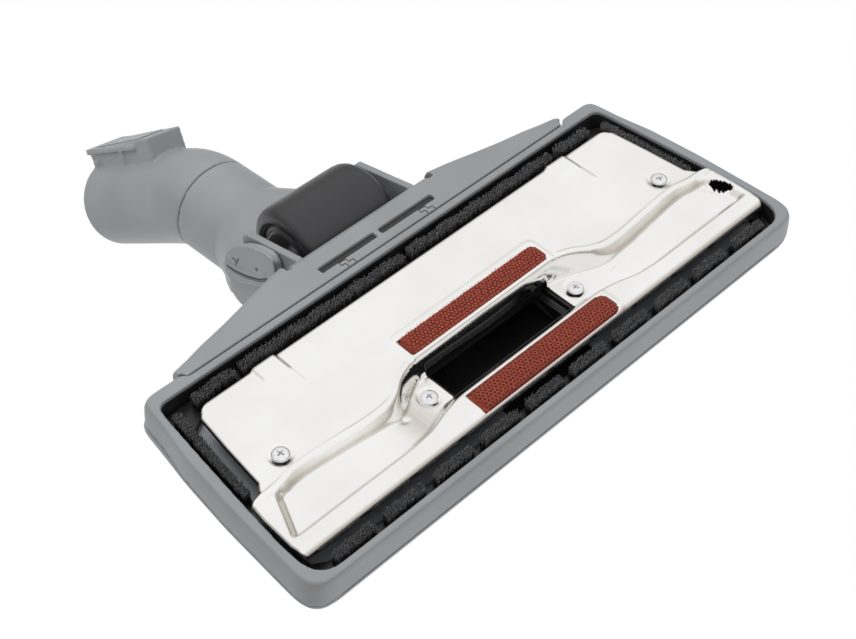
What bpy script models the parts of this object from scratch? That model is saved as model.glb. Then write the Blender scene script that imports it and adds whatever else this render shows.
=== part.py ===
"""Combination floor nozzle for a suction cleaner, built as separate named parts.

All dimensions below are millimetres. The sole faces down, the front edge faces
-Y and the neck leaves at +Y. Sizes are converted to metres in add_mesh().
"""
import math
import bmesh
import bpy
from mathutils import Matrix, Vector

for old in list(bpy.data.objects):
    bpy.data.objects.remove(old, do_unlink=True)

MM = 0.001
SOLE_Z = 1.6                    # working face of the metal sole
SHEET = 1.2                     # sole sheet thickness
CENTRE_Y = 101.5                # middle of the whole length, moved to the origin
TILT = Vector((0, 86, 28))      # axis of the roller axle and of the neck tilt
RING = Vector((0, 172.8, 70.5))  # centre of the swivel joint face
NECK_RISE = math.radians(5)     # neck tube above the horizontal
BEND = math.radians(28.5)       # elbow bend
SWIVEL = math.radians(10)       # elbow turned away from straight
TO_KNEE = 12.4                  # swivel joint face to the middle of the bend

COLOURS = {
    "body": ((0.34, 0.355, 0.37, 1), 0.45, 0.0),
    "neck": ((0.36, 0.375, 0.39, 1), 0.42, 0.0),
    "dark": ((0.045, 0.045, 0.05, 1), 0.55, 0.0),
    "roller": ((0.075, 0.075, 0.085, 1), 0.4, 0.0),
    "sole": ((0.82, 0.80, 0.77, 1), 0.15, 1.0),
    "steel": ((0.6, 0.6, 0.6, 1), 0.25, 1.0),
    "lint": ((0.28, 0.03, 0.02, 1), 0.9, 0.0),
    "bristle": ((0.02, 0.02, 0.022, 1), 0.8, 0.0),
}


def dress(obj, colour, smooth=False):
    rgba, rough, metal = COLOURS[colour]
    mat = bpy.data.materials.new(obj.name + "_finish")
    mat.use_nodes = True
    shader = mat.node_tree.nodes["Principled BSDF"]
    shader.inputs["Base Color"].default_value = rgba
    shader.inputs["Roughness"].default_value = rough
    shader.inputs["Metallic"].default_value = metal
    obj.data.materials.clear()
    obj.data.materials.append(mat)
    if smooth:
        for face in obj.data.polygons:
            face.use_smooth = True
    return obj


def add_mesh(name, verts, faces, colour=None, smooth=False, cutter=False):
    mesh = bpy.data.meshes.new(name)
    mesh.from_pydata([(Vector(v) - Vector((0, CENTRE_Y, 0))) * MM for v in verts], [], faces)
    work = bmesh.new()
    work.from_mesh(mesh)
    bmesh.ops.recalc_face_normals(work, faces=work.faces)
    work.to_mesh(mesh)
    work.free()
    mesh.update()
    obj = bpy.data.objects.new(name, mesh)
    bpy.context.scene.collection.objects.link(obj)
    if cutter:
        obj.hide_render = True
        obj.display_type = 'WIRE'
    else:
        dress(obj, colour, smooth)
    return obj


def boolean(obj, tool, mode):
    mod = obj.modifiers.new(mode.lower(), 'BOOLEAN')
    mod.operation = mode
    mod.solver = 'EXACT'
    mod.object = tool
    return obj


def cut(obj, *tools):
    for tool in tools:
        boolean(obj, tool, 'DIFFERENCE')
    return obj


def fuse(obj, *tools):
    for tool in tools:
        boolean(obj, tool, 'UNION')
    return obj


def loft(name, sections, colour=None, smooth=False, cutter=False):
    """Closed skin over equal-length closed sections, capped at both ends."""
    n = len(sections[0])
    verts = [p for sec in sections for p in sec]
    faces = [list(range(n))[::-1]]
    for k in range(len(sections) - 1):
        a, b = k * n, (k + 1) * n
        for i in range(n):
            j = (i + 1) % n
            faces.append([a + i, a + j, b + j, b + i])
    last = (len(sections) - 1) * n
    faces.append([last + i for i in range(n)])
    return add_mesh(name, verts, faces, colour, smooth, cutter)


def pipe(name, outer, inner, colour=None, smooth=True, cutter=False):
    """Open-ended hollow skin between matching outer and inner section lists."""
    n = len(outer[0])
    m = len(outer)
    verts = [p for sec in outer for p in sec] + [p for sec in inner for p in sec]
    off = n * m
    faces = []
    for k in range(m - 1):
        for i in range(n):
            j = (i + 1) % n
            a, b = k * n, (k + 1) * n
            faces.append([a + i, a + j, b + j, b + i])
            faces.append([off + b + i, off + b + j, off + a + j, off + a + i])
    for i in range(n):
        j = (i + 1) % n
        faces.append([off + i, off + j, j, i])
        e = (m - 1) * n
        faces.append([e + i, e + j, off + e + j, off + e + i])
    return add_mesh(name, verts, faces, colour, smooth, cutter)


def prism(name, outline, low, high, colour=None, smooth=False, cutter=False):
    """Upright prism of an XY outline."""
    return loft(name, [[(x, y, low) for x, y in outline],
                       [(x, y, high) for x, y in outline]], colour, smooth, cutter)


def side_prism(name, outline, left, right, colour=None, smooth=False, cutter=False):
    """Prism of a YZ outline that runs along X."""
    return loft(name, [[(left, y, z) for y, z in outline],
                       [(right, y, z) for y, z in outline]], colour, smooth, cutter)


def box(name, x, y, z, colour=None, cutter=False):
    outline = [(x[0], y[0]), (x[1], y[0]), (x[1], y[1]), (x[0], y[1])]
    return prism(name, outline, z[0], z[1], colour, False, cutter)


def frame_for(axis):
    axis = Vector(axis).normalized()
    side = axis.cross(Vector((0, 0, 1)))
    if side.length < 0.01:
        side = Vector((1, 0, 0))
    side.normalize()
    return side, side.cross(axis).normalized(), axis


def circle(centre, radius, axis, count=28):
    side, up, _ = frame_for(axis)
    centre = Vector(centre)
    return [centre + radius * (math.cos(t) * side + math.sin(t) * up)
            for t in (2 * math.pi * i / count for i in range(count))]


def rod(name, start, end, radius, colour=None, count=20, cutter=False):
    axis = Vector(end) - Vector(start)
    return loft(name, [circle(start, radius, axis, count),
                       circle(end, radius, axis, count)], colour, True, cutter)


def turned(name, start, axis, profile, colour, count=28):
    """Solid turned part: profile is (distance along axis, radius) pairs."""
    axis = Vector(axis).normalized()
    rings = [circle(Vector(start) + axis * d, r, axis, count) for d, r in profile]
    return loft(name, rings, colour, True)


def sleeve(name, start, axis, profile, colour, count=28):
    """Hollow turned part: (distance, outer radius, inner radius) triples."""
    axis = Vector(axis).normalized()
    out = [circle(Vector(start) + axis * d, r, axis, count) for d, r, _ in profile]
    inn = [circle(Vector(start) + axis * d, r, axis, count) for d, _, r in profile]
    return pipe(name, out, inn, colour)


def mirror_outline(half):
    """Full outline from its right half, listed rear centre to front centre."""
    left = [(-x, y) for x, y in reversed(half) if x > 0]
    return half + left


def arc(centre, radius, start, end, steps):
    """Points of an arc in the YZ plane, angles in degrees from +Y."""
    cy, cz = centre
    pts = []
    for i in range(steps + 1):
        a = math.radians(start + (end - start) * i / steps)
        pts.append((cy + radius * math.cos(a), cz + radius * math.sin(a)))
    return pts


def lerp_table(table, at):
    """Linear reading of a sorted list of (position, value) pairs."""
    if at <= table[0][0]:
        return table[0][1]
    for (p0, v0), (p1, v1) in zip(table, table[1:]):
        if at <= p1:
            return v0 + (v1 - v0) * (at - p0) / (p1 - p0)
    return table[-1][1]


# ---------------------------------------------------------------- outlines
RIM_OUT = [(60, 44.4), (110.5, 44.4), (111.5, 47.0), (128, 47.2), (131.3, 45), (133.2, 29.5),
           (136.3, 13.8), (138.8, -13.8), (140.2, -48), (140.6, -57), (139.4, -62.4),
           (136, -65.6), (131, -66.6), (60, -66.6)]
RIM_IN = [(60, 41), (126, 41), (128.6, 39.4), (129.6, 34.5), (131.8, 12), (134.2, -15),
          (136.2, -42), (136.2, -53.5), (134.6, -59), (131, -62.4), (126, -63.5), (60, -63.5)]


def grown(outline, side, rear, front):
    """Outline pushed out: side in X, rear at +Y and front at -Y."""
    out = []
    for x, y in outline:
        nx = x + side if x > 100 else x
        ny = y + rear if y > 20 else (y - front if y < -55 else y)
        out.append((nx, ny))
    return out


# ---------------------------------------------------------------- sole plate
CHANNEL_REAR = [(0, -12.9), (40.8, -12.9), (50, -15.5), (57, -20.7), (64, -23.2),
                (74, -23.4), (88, -22.2), (103, -21.2), (112, -21.0), (119, -22.6), (140, -24)]
CHANNEL_FRONT = [(0, -39.6), (42, -39.6), (50, -41), (61, -44.3), (73, -45.2), (140, -45.2)]
DEPTH = [(0, 12.0), (48.6, 12.0), (54, 8.6), (58, 6.6), (64, 5.2), (90, 4.6), (140, 4.2)]
REAR_SLOPE = [(0, 1.8), (40.8, 1.8), (57, 3), (140, 3)]
FRONT_SLOPE = [(0, 8.3), (40.8, 8.3), (57, 4), (140, 3)]
EDGE_X = [(-53.6, 130.0), (-51.5, 133.8), (-46, 135.2), (-30, 134.6), (-22.4, 133.8),
          (-20.6, 128.4), (-16, 125.2), (5, 123.3), (23, 121.2), (26.5, 118.6), (28.3, 113.6)]
COLUMNS = [0, 18, 35.8, 39.8, 42.5, 46, 48.6, 51, 54, 58, 64, 74, 90, 103, 109]


def sole_plate():
    xs = sorted({-c for c in COLUMNS} | set(COLUMNS))
    cols = [("edge", -1, f) for f in (1.0, 0.93, 0.6, 0.3)]
    cols += [("fixed", x, 0) for x in xs]
    cols += [("edge", 1, f) for f in (0.3, 0.6, 0.93, 1.0)]
    grid = []
    for kind, val, frac in cols:
        ax = abs(val) if kind == "fixed" else 109 + frac * 26
        rear = lerp_table(CHANNEL_REAR, ax)
        front = lerp_table(CHANNEL_FRONT, ax)
        deep = lerp_table(DEPTH, ax)
        rs = lerp_table(REAR_SLOPE, ax)
        fs = lerp_table(FRONT_SLOPE, ax)
        rows = [(-53.6, 1.3), (-52.3, 0), (-51.9, 0), (front - 1.2, 0), (front, 0),
                (front + fs * 0.25, deep * 0.3), (front + fs, deep), (rear - rs, deep),
                (rear - rs * 0.2, deep * 0.25), (rear, 0), (rear + 1.1, 0),
                (0.8 * rear + 0.8, 0), (-0.5, 0),
                (23, 0), (27.2, 0), (28.3, 1.3)]
        line = []
        for k, (y, lift) in enumerate(rows):
            if kind == "fixed":
                x = val
                roll = 0
            else:
                edge = lerp_table(EDGE_X, y)
                x = val * (109 + frac * (edge - 109))
                roll = 1.1 if frac == 1.0 and not 4 < k < 9 else 0
            line.append((x, y, SOLE_Z + max(lift, roll)))
        grid.append(line)
    nc, nr = len(grid), len(grid[0])
    verts = [p for line in grid for p in line]
    verts += [(x, y, z + SHEET) for x, y, z in verts]
    off = nc * nr

    def open_cell(i, j):
        x0, x1 = grid[i][0][0], grid[i + 1][0][0]
        if max(abs(x0), abs(x1)) < 36:
            return j in (6,)
        return False

    def strip_cell(i, j):
        x0, x1 = grid[i][2][0], grid[i + 1][2][0]
        return max(abs(x0), abs(x1)) < 40 and j in (2, 10, 11)

    keep = {(i, j) for i in range(nc - 1) for j in range(nr - 1)
            if not open_cell(i, j) and not strip_cell(i, j)}
    faces = []
    for i, j in sorted(keep):
        a, b = i * nr + j, (i + 1) * nr + j
        faces.append([a, a + 1, b + 1, b])
        faces.append([off + a, off + b, off + b + 1, off + a + 1])
        if (i - 1, j) not in keep:
            faces.append([a, off + a, off + a + 1, a + 1])
        if (i + 1, j) not in keep:
            faces.append([b, b + 1, off + b + 1, off + b])
        if (i, j - 1) not in keep:
            faces.append([a, b, off + b, off + a])
        if (i, j + 1) not in keep:
            faces.append([a + 1, off + a + 1, off + b + 1, b + 1])
    used = sorted({v for f in faces for v in f})
    index = {v: k for k, v in enumerate(used)}
    plate = add_mesh("sole_plate", [verts[v] for v in used],
                     [[index[v] for v in f] for f in faces], "sole")
    return plate


SCREWS = [("outer_left", -110.6, -12.6, SOLE_Z), ("outer_right", 110.6, -12.6, SOLE_Z),
          ("inner_left", -43.6, -24.6, SOLE_Z + 12.0), ("inner_right", 43.6, -24.6, SOLE_Z + 12.0)]

plate = sole_plate()
for label, x, y, z in SCREWS:
    cut(plate, rod("cut_plate_" + label, (x, y, z - 3), (x, y, z + 6), 2.3, cutter=True, count=14))
    turned("sole_screw_" + label, (x, y, z - 1.5), (0, 0, 1),
           [(0, 2.2), (0.35, 3.4), (1.0, 3.8), (1.2, 3.8), (1.21, 1.6), (11.5 if z > 5 else 18, 1.6)],
           "steel", 16)

# ---------------------------------------------------------------- lint strips
for label, y0, y1 in (("rear", -11.5, -0.8), ("front", -51.6, -41.1)):
    box(label + "_lint_strip", (-39.2, 39.2), (y0, y1), (0.0, 3.2), "lint")
    box(label + "_lint_carrier", (-44, 44), (y0 - 0.9, y1 + 0.9), (3.5, 5.6), "dark")

# ---------------------------------------------------------------- chassis
DECK_LOW, DECK_TOP = 15.6, 17.2
outer_low = mirror_outline(RIM_OUT)
outer_mid = mirror_outline(grown(RIM_OUT, 1.0, 0.8, 0.4))
outer_top = mirror_outline(grown(RIM_OUT, 1.9, 0.8, 0.4))
chassis = loft("chassis", [[(x, y, 3.8) for x, y in outer_low],
                           [(x, y, 6.5) for x, y in outer_mid],
                           [(x, y, DECK_TOP) for x, y in outer_top]], "body")
cut(chassis, prism("cut_chassis_inside", mirror_outline(RIM_IN), 0, DECK_LOW, cutter=True),
    box("cut_chassis_mouth", (-36.4, 36.4), (-31.9, -12.3), (10, 20), cutter=True),
    box("cut_link_window", (-25.4, 25.4), (-61.4, -38.6), (10, 20), cutter=True),
    box("cut_end_left", (-137.4, -130), (-41, -27.5), (2, 9.2), cutter=True),
    box("cut_end_right", (130, 137.4), (-41, -27.5), (2, 9.2), cutter=True))
for label, x, y, z in SCREWS:
    cut(chassis, rod("cut_chassis_" + label, (x, y, 10), (x, y, 21), 2.0, cutter=True, count=14))
# snap tabs that lock the rear carriage to the chassis
for label, x in (("left", -41), ("right", 31)):
    cut(chassis, box("cut_snap_" + label, (x - 0.2, x + 10.2), (41.6, 50), (0, 8), cutter=True))

# ---------------------------------------------------------------- rear carriage
WING = [(112.2, 48.4), (112.2, 53.6), (104, 55.2), (95, 57.4), (81, 60.0), (68, 63.0), (54, 66.4),
        (42.5, 68.6)]
rear_half = [(0, 45.6), (110, 45.6), (111.0, 48.4)] + WING + [(42.5, 66.2), (0, 66.2)]
carriage = loft("rear_carriage",
                [[(x, y if y < 50 else y - 4, 4.4) for x, y in mirror_outline(rear_half)],
                 [(x, y if y < 50 else y - 1.5, 6.2) for x, y in mirror_outline(rear_half)],
                 [(x, y, 9.5) for x, y in mirror_outline(rear_half)],
                 [(x, y, 17.2) for x, y in mirror_outline(rear_half)]], "body")
CHEEK = [(58, 6.4), (68, 8), (78, 10.6), (92, 14), (102, 16.5), (104.6, 20), (105, 40), (60, 40)]
fuse(carriage, side_prism("cheek_right", CHEEK, 31.4, 34.8, cutter=True),
     side_prism("cheek_left", CHEEK, -34.8, -31.4, cutter=True))
cut(carriage,
    box("cut_carriage_inside", (-28, 28), (48, 64), (11, 30), cutter=True),
    box("cut_carriage_wing_left", (-109, -42), (48.5, 56), (8.5, 30), cutter=True),
    box("cut_carriage_wing_right", (42, 109), (48.5, 56), (8.5, 30), cutter=True),
    box("cut_slot_left", (-32.7, -1.6), (51.4, 53.8), (0, 30), cutter=True),
    box("cut_slot_right", (1.6, 32.7), (51.4, 53.8), (0, 30), cutter=True),
    rod("cut_roller_bay", (-31.2, 86, 28), (31.2, 86, 28), 26.2, cutter=True, count=40),
    rod("cut_axle_hole", (-45, 86, 28), (45, 86, 28), 4.12, cutter=True, count=28),
    box("cut_wing_gap_left", (-43.2, -40.1), (62, 80), (0, 30), cutter=True),
    box("cut_wing_gap_right", (40.1, 43.2), (62, 80), (0, 30), cutter=True))
for label, x in (("left", -41), ("right", 31)):
    fuse(carriage, box("snap_stem_" + label, (x + 2, x + 8), (43.2, 47), (4.4, 7.2), cutter=True),
         box("snap_head_" + label, (x + 0.3, x + 9.7), (42.0, 43.9), (4.4, 7.2), cutter=True))

# ---------------------------------------------------------------- upper cover
cover_half = [(60, 46.4), (113, 46.4), (113, 54.4), (129, 51.2), (134.3, 46), (136.4, 29.5),
              (138.6, 13.8), (140.9, -13.8), (142.3, -48), (142.5, -57), (141.2, -62.8),
              (137.6, -66.2), (132, -67.2), (60, -67.2)]


def inset(outline, side, rear, front):
    """Outline drawn in evenly: side in X, rear at +Y and front at -Y."""
    return [(x * (142.5 - side) / 142.5, y * (54.4 - rear) / 54.4 if y > 0
             else y * (67.2 - front) / 67.2) for x, y in outline]


cover = loft("upper_cover", [
    [(x, y, 17.5) for x, y in mirror_outline(cover_half)],
    [(x, y, 20.0) for x, y in mirror_outline(inset(cover_half, 0.6, 0.3, 0.6))],
    [(x, y, 23.6) for x, y in mirror_outline(inset(cover_half, 3.6, 1.6, 4.2))],
    [(x, y, 25.6) for x, y in mirror_outline(inset(cover_half, 10, 4.5, 12))],
    [(x, y, 26.6) for x, y in mirror_outline(inset(cover_half, 22, 9, 24))]], "body")
REAR_DECK = [(0, 40), (112.6, 40), (112.6, 53.8), (104, 55.4), (95, 57.6), (81, 60.2), (68, 63.2),
             (54, 66.6), (42.5, 68.8), (42.5, 62), (0, 62)]
rear_deck = loft("cover_rear_deck",
                 [[(x, y, 17.5) for x, y in mirror_outline(REAR_DECK)],
                  [(x, y - 0.8 if y > 45 else y, 20) for x, y in mirror_outline(REAR_DECK)],
                  [(x * 0.985, y - 4 if y > 45 else y, 25.4) for x, y in mirror_outline(REAR_DECK)]],
                 cutter=True)
HOOD = [(-54, 22), (-51, 29), (-46, 33.4), (-10, 35.6), (6, 39), (18, 44), (30, 51), (42, 59),
        (52, 65.6), (56.6, 68.2), (58.7, 67.2)] + arc((86, 28), 47.2, 127, 182, 8) + [(38.8, 19)]
hood = side_prism("cover_hood", HOOD, -38, 38, cutter=True)
INNER_HOOD = [(-51, 16), (-51, 22), (-48.4, 27.6), (-44.6, 31), (-10, 33.2), (6, 36.6), (19, 42),
              (31, 49), (43, 57), (51, 62), (60, 60), (86, 40), (86, 16)]
fuse(cover, rear_deck, hood)
cut(cover,
    loft("cut_cover_inside",
         [[(x, y, 10) for x, y in mirror_outline(inset(cover_half, 2.2, 2.2, 2.2))],
          [(x, y, 20) for x, y in mirror_outline(inset(cover_half, 3.2, 2.6, 3.2))],
          [(x, y, 23.4) for x, y in mirror_outline(inset(cover_half, 12, 5.5, 13.5))],
          [(x, y, 24.4) for x, y in mirror_outline(inset(cover_half, 24, 10, 26))]], cutter=True),
    prism("cut_cover_rear_inside", mirror_outline([(0, 38), (110, 38), (110, 51.6), (95, 55),
                                                   (68, 60.4), (44.8, 64.6), (44.8, 60), (0, 60)]),
          10, 22.8, cutter=True),
    side_prism("cut_hood_inside", INNER_HOOD, -34.4, 34.4, cutter=True),
    box("cut_cheek_space", (-40.2, 40.2), (57, 120), (10, 41), cutter=True),
    box("cut_pedal_window", (-24.4, 24.4), (-44.4, -13.6), (30, 50), cutter=True))
for side, x in (("left", -26.2), ("right", 26.2)):
    fuse(cover, box("pedal_lug_" + side, (x - 1.6, x + 1.6), (-33, -25), (28.8, 34), cutter=True))
cut(cover, rod("cut_pedal_pin", (-29, -29, 32.2), (29, -29, 32.2), 1.3, cutter=True, count=14))

# ---------------------------------------------------------------- suction duct
def quad(x, y0, z0, y1, z1):
    """Four corners of an opening that spans +-x between two YZ points."""
    return [(-x, y0, z0), (x, y0, z0), (x, y1, z1), (-x, y1, z1)]


pipe("suction_duct",
     [quad(35.8, -31.3, 15.0, -12.9, 15.0), quad(35.8, -31.3, 17.4, -12.9, 17.4),
      quad(33.8, -30.6, 19.4, -10.6, 17.6), quad(33.4, -27, 27.4, -9, 17.7),
      quad(31, 2, 32, 2, 17.7), quad(30.9, 36, 48, 36, 17.8)],
     [quad(34.6, -30.1, 15.0, -14.1, 15.0), quad(34.6, -30.1, 17.4, -14.1, 17.8),
      quad(32.6, -29.4, 19.4, -11.4, 18.8),
      quad(32.2, -26.2, 26.1, -9, 18.9), quad(29.8, 2, 30.7, 2, 18.9),
      quad(29.7, 36, 46.7, 36, 19)],
     "dark", False)
prism("mouth_gasket", mirror_outline([(0, -12.2), (38.6, -12.2), (38.6, -32), (0, -32)]),
      14.95, 15.4, "dark")
cut(bpy.data.objects["mouth_gasket"],
    box("cut_gasket", (-36.1, 36.1), (-31.6, -12.6), (14, 16), cutter=True))

# ---------------------------------------------------------------- roller
sleeve("roller", (-25, 86, 28), (1, 0, 0),
       [(0, 20, 16.4), (0.6, 22.4, 16.2), (2.6, 24.2, 16), (5, 24.5, 16), (45, 24.5, 16),
        (47.4, 24.2, 16), (49.4, 22.4, 16.2), (50, 20, 16.4)], "roller", 36)
sleeve("roller_hub", (-23, 86, 28), (1, 0, 0),
       [(0, 15.6, 4.12), (46, 15.6, 4.12)], "dark", 28)
rod("roller_axle", (-38.7, 86, 28), (38.7, 86, 28), 4.0, "steel", 28)

# ---------------------------------------------------------------- tilting neck
N = Vector((0, math.cos(NECK_RISE), math.sin(NECK_RISE)))
UP = Vector((0, -math.sin(NECK_RISE), math.cos(NECK_RISE)))
X = Vector((1, 0, 0))


def bell(y, z_low, z_high, half_low, half_high, count=28):
    """Section of the neck flare: wide and square below, narrow and round above."""
    pts = []
    mid, tall = (z_low + z_high) / 2, (z_high - z_low) / 2
    for i in range(count):
        t = 2 * math.pi * i / count
        c, s = math.cos(t), math.sin(t)
        px = math.copysign(abs(c) ** 0.72, c)
        pz = math.copysign(abs(s) ** 0.72, s)
        width = half_low + (half_high - half_low) * max(0.0, (pz - 0.1) / 0.9)
        pts.append(Vector((px * width, y, mid + pz * tall)))
    return pts


neck = loft("tilt_neck",
            [bell(108.5, 35, 74, 38.8, 30), bell(114, 35.5, 80, 38.4, 28.5),
             bell(121, 37, 85, 35, 26.5), bell(130, 40, 89, 29.5, 24.8), circle(RING - N * 30, 24.3, N)[0:28],
             circle(RING, 24.3, N)], "neck", True)
HUB = arc((86, 28), 46.6, 60, 145, 12) + arc((86, 28), 26.6, 145, 20, 16) + [(116, 39), (118, 60)]
hub = side_prism("neck_hub", HUB, -30.8, 30.8, cutter=True)
WIDE_ARM = [(75, 14), (80, 10.6), (88, 12.6), (96.5, 17), (104, 23), (110.5, 31.5), (113.5, 40),
            (115, 52), (108, 56), (100, 50), (92, 41), (80, 36), (75, 26)]
SLIM_ARM = [(75, 24), (79, 20.4), (86, 19.4), (94, 20.6), (103, 26), (110.5, 34), (113.5, 42),
            (115, 52), (108, 56), (100, 50), (92, 41), (80, 36), (75, 30)]
arms = [side_prism("neck_arm_left", SLIM_ARM, -38.8, -35.1, cutter=True),
        side_prism("neck_arm_right", WIDE_ARM, 35.1, 38.8, cutter=True)]
fuse(neck, hub, *arms)
DUCT = arc((86, 28), 44.2, 50, 150, 12) + arc((86, 28), 29.6, 150, 35, 10)
cut(neck, side_prism("cut_neck_duct", DUCT, -28.4, 28.4, cutter=True),
    rod("cut_neck_bore", tuple(RING - N * 66), tuple(RING + N * 1), 19.6, cutter=True, count=32),
    rod("cut_neck_counterbore", tuple(RING - N * 13), tuple(RING + N * 2), 22.6, cutter=True,
        count=32),
    rod("cut_arm_holes", (-42, 86, 28), (42, 86, 28), 4.12, cutter=True, count=28),
    rod("cut_roller_clear", (-31.0, 86, 28), (31.0, 86, 28), 26.5, cutter=True, count=48),
    side_prism("cut_cheek_clear", arc((86, 28), 26.5, 0, 360, 31)[:-1], -35.1, -31.1, cutter=True),
    side_prism("cut_cheek_clear_r", arc((86, 28), 26.5, 0, 360, 31)[:-1], 31.1, 35.1, cutter=True))
ROUND_CLIP = arc((86, 28), 8.2, 0, 360, 24)[:-1]
LEAF_CLIP = [(74.5, 12.5), (77.5, 9), (88, 11.4), (96.4, 15.7), (104, 21.8), (110.6, 30.4), (113.4, 40),
             (112.4, 44.6), (109, 46.4), (100, 43), (92.6, 38.2), (83.8, 33), (76.4, 26)]
for side, s, outline in (("left", -1, ROUND_CLIP), ("right", 1, LEAF_CLIP)):
    a, b = sorted((s * 39.1, s * 40.5))
    cap = side_prism("pivot_clip_" + side, outline, a, b, "neck")
    cut(cap, rod("cut_clip_" + side, (s * 38, 86, 28), (s * 42, 86, 28), 0.9, cutter=True, count=16))

# ---------------------------------------------------------------- swivel elbow
sleeve("swivel_bearing", tuple(RING - N * 12.4), tuple(N), [(0, 22.3, 21.2), (11.6, 22.3, 21.2)],
       "dark", 28)
TURN = math.sin(SWIVEL) * X + math.cos(SWIVEL) * UP
D2 = math.cos(BEND) * N + math.sin(BEND) * TURN
KNEE = RING + N * TO_KNEE
BOSS = math.sin(BEND) * N - math.cos(BEND) * TURN        # faces away from the bend
WIDE = D2.cross(BOSS).normalized()


def bent(dist, radius, count=28):
    """Circle on the elbow centre line at a distance from the joint face."""
    turn_len = 24.0
    s0 = TO_KNEE - turn_len / 2
    if dist <= s0:
        centre, axis = RING + N * dist, N
    elif dist >= s0 + turn_len:
        centre, axis = KNEE + D2 * (dist - TO_KNEE), D2
    else:
        f = (dist - s0) / turn_len
        a = KNEE - N * (turn_len / 2)
        b = KNEE + D2 * (turn_len / 2)
        centre = a * (1 - f) ** 2 + KNEE * 2 * f * (1 - f) + b * f ** 2
        ang = BEND * f
        axis = math.cos(ang) * N + math.sin(ang) * TURN
    side = WIDE
    up = side.cross(axis).normalized()
    return [centre + radius * (math.cos(t) * side + math.sin(t) * up)
            for t in (2 * math.pi * i / count for i in range(count))]


SOCKET = 93.4
outer = [(-11.6, 20.8), (0.35, 20.8), (0.36, 24.3), (2, 24.3), (8, 24.4), (TO_KNEE, 24.5),
         (21, 24.4), (28, 24.1), (SOCKET - 1, 24.0), (SOCKET, 23.2)]
inner = [(-11.6, 18.6), (0.35, 18.6), (0.36, 18.6), (2, 18.6), (8, 18.6), (TO_KNEE, 18.6),
         (21, 18.6), (28, 18.0), (SOCKET - 1, 18.0), (SOCKET, 19.0)]
elbow = pipe("swivel_elbow", [bent(d, r) for d, r in outer], [bent(d, r) for d, r in inner],
             "neck")


def socket_box(name, along, wide, high, colour=None, cutter=False, drop=0.0):
    """Box on the socket: along the bore, across it and out along the boss."""
    verts = []
    for d, extra in ((along[0], 0.0), (along[1], -drop)):
        for w, h in ((wide[0], high[0]), (wide[1], high[0]), (wide[1], high[1] + extra),
                     (wide[0], high[1] + extra)):
            verts.append(KNEE + D2 * d + WIDE * w + BOSS * h)
    faces = [[0, 1, 2, 3], [7, 6, 5, 4], [0, 4, 5, 1], [1, 5, 6, 2], [2, 6, 7, 3], [3, 7, 4, 0]]
    return add_mesh(name, verts, faces, colour, False, cutter)


fuse(elbow, socket_box("latch_boss", (17, 79.5), (-10.5, 10.5), (21, 34.6), cutter=True, drop=3.0),
     socket_box("latch_lip", (30, 80.4), (-12, 12), (29.2, 32.2), cutter=True, drop=0.0))
cut(elbow, socket_box("cut_latch_well", (28, 76), (-8, 8), (26.5, 50), cutter=True),
    socket_box("cut_latch_hole", (61, 71), (-5, 5), (10, 50), cutter=True),
    rod("cut_latch_pin", tuple(KNEE + D2 * 50 - WIDE * 12 + BOSS * 30.4),
        tuple(KNEE + D2 * 50 + WIDE * 12 + BOSS * 30.4), 1.25, cutter=True, count=14))
lever = socket_box("latch_lever", (29, 75), (-7.6, 7.6), (29.4, 34.6), "neck", drop=2.2)
fuse(lever, socket_box("latch_tooth", (63, 69), (-4.4, 4.4), (16.9, 30), cutter=True))
cut(lever, rod("cut_lever_pin", tuple(KNEE + D2 * 50 - WIDE * 12 + BOSS * 30.4),
               tuple(KNEE + D2 * 50 + WIDE * 12 + BOSS * 30.4), 1.25, cutter=True, count=14))
rod("latch_pin", tuple(KNEE + D2 * 50 - WIDE * 10.2 + BOSS * 30.4),
    tuple(KNEE + D2 * 50 + WIDE * 10.2 + BOSS * 30.4), 1.15, "steel", 14)
sleeve("tube_seal", tuple(KNEE + D2 * 30), tuple(D2), [(0, 17.7, 16.4), (4, 17.7, 16.4)], "dark", 28)

# ---------------------------------------------------------------- brush frame
F_OUT = mirror_outline([(60, 40.2), (124, 40.2), (128.2, 37), (130.6, 12), (132.6, -15),
                        (134.6, -42), (134.6, -53), (131.6, -60), (126, -62.6), (60, -62.6)])
F_IN = mirror_outline([(60, 30.2), (117, 30.2), (122.4, 27), (125.2, 6), (127.4, -14),
                       (131.0, -24), (131.4, -44), (130.4, -52), (125, -55.4), (60, -55.4)])
brush = loft("brush_frame", [[(x, y, 12.2) for x, y in F_OUT], [(x, y, 14.8) for x, y in F_OUT]],
             "dark")
cut(brush, prism("cut_brush_inside", F_IN, 10, 17, cutter=True))
box("rear_bristle_row", (-116, 116), (33.2, 37.2), (3.4, 11.9), "bristle")
for side, s in (("left", -1), ("right", 1)):
    row = [(s * 123.4, 34), (s * 126.6, 34), (s * 129.4, 8), (s * 131.0, -15), (s * 128.6, -15),
           (s * 126.4, 8)]
    prism(side + "_bristle_row", row if s > 0 else row[::-1], 4.4, 11.9, "bristle")
front = box("front_bristle_tufts", (-128, 128), (-61.2, -56.8), (9.2, 11.9), "bristle")
for i in range(10):
    x = -115.2 + i * 25.6
    fuse(front, box("tuft_%d" % i, (x - 10.4, x + 10.4), (-60.6, -57.4), (3.4, 9.6), cutter=True))

# lift yoke that carries the pedal stroke down to the brush frame
yoke = box("lift_yoke", (-24, 24), (-59.8, -39.6), (18.6, 20.4), "dark")
fuse(yoke, box("yoke_post", (-12, 12), (-43.2, -40.4), (20, 32.6), cutter=True))
for side, x in (("left", -21), ("right", 21)):
    fuse(yoke, box("yoke_leg_" + side, (x - 3, x + 3), (-59.8, -57.0), (15.1, 19), cutter=True))

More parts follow.
